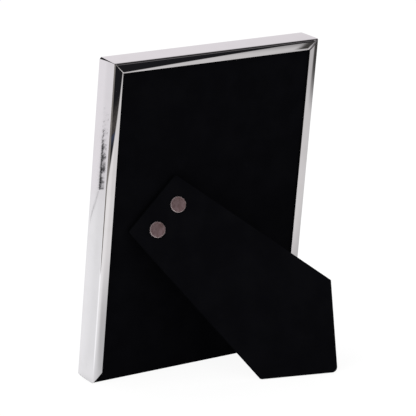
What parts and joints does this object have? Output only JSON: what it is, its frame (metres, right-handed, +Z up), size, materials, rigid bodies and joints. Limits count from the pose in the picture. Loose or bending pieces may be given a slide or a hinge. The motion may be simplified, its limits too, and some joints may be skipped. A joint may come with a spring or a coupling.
{
  "type": "easel back photo frame",
  "caption": "Polished metal photo frame that leans on a slanted, hinged velvet leg, with a velvet back panel that slides out downwards.",
  "frame": {"origin": "centre of the standing frame's footprint, on the table", "axes": "+Z up, -Y towards the viewer of the picture, +X to the right of that viewer"},
  "size_m": [0.16, 0.0936, 0.211],
  "materials": {
    "polished_rail": "mirror polished",
    "bracket_steel": "plain",
    "clear_glass": "clear",
    "print_paper": "satin paper",
    "grey_card": "uncoated card",
    "brown_card": "corrugated card",
    "fibreboard": "raw board",
    "black_velvet": "short pile",
    "lining_paper": "matt paper",
    "lining_cloth": "short pile",
    "hinge_steel": "zinc plated",
    "pewter_rivet": "dull plated"
  },
  "bodies": {
    "back_panel": {"board_core": "fibreboard", "board_velvet": "black_velvet", "board_lining": "lining_paper", "hinge_board_leaf": "hinge_steel", "hinge_pin": "hinge_steel", "board_rivets": "hinge_steel", "board_rivet_washers": "hinge_steel"},
    "frame": {"top_rail": "polished_rail", "bottom_rail": "polished_rail", "left_rail": "polished_rail", "right_rail": "polished_rail", "corner_bracket_bottom_left": "bracket_steel", "corner_bracket_bottom_right": "bracket_steel", "corner_bracket_top_left": "bracket_steel", "corner_bracket_top_right": "bracket_steel", "glass_pane": "clear_glass", "photo_print": "print_paper", "backing_card": "grey_card", "filler_pad": "brown_card"},
    "leg": {"leg_core": "fibreboard", "leg_velvet": "black_velvet", "leg_lining": "lining_cloth", "hinge_leg_leaf": "hinge_steel", "leg_rivets": "pewter_rivet", "leg_rivet_washers": "hinge_steel"}
  },
  "joints": [
    {"name": "back_slide", "type": "slide", "parent": "back_panel", "child": "frame", "axis": [0, 0.1426, 0.9898], "range_m": [0, 0.2]},
    {"name": "leg_fold", "type": "hinge", "parent": "back_panel", "child": "leg", "pos_m": [0.0395, -0.01341, 0.10999], "axis": [-0.7071, 0.1009, 0.6999], "range_deg": [0, 26.8]}
  ]
}
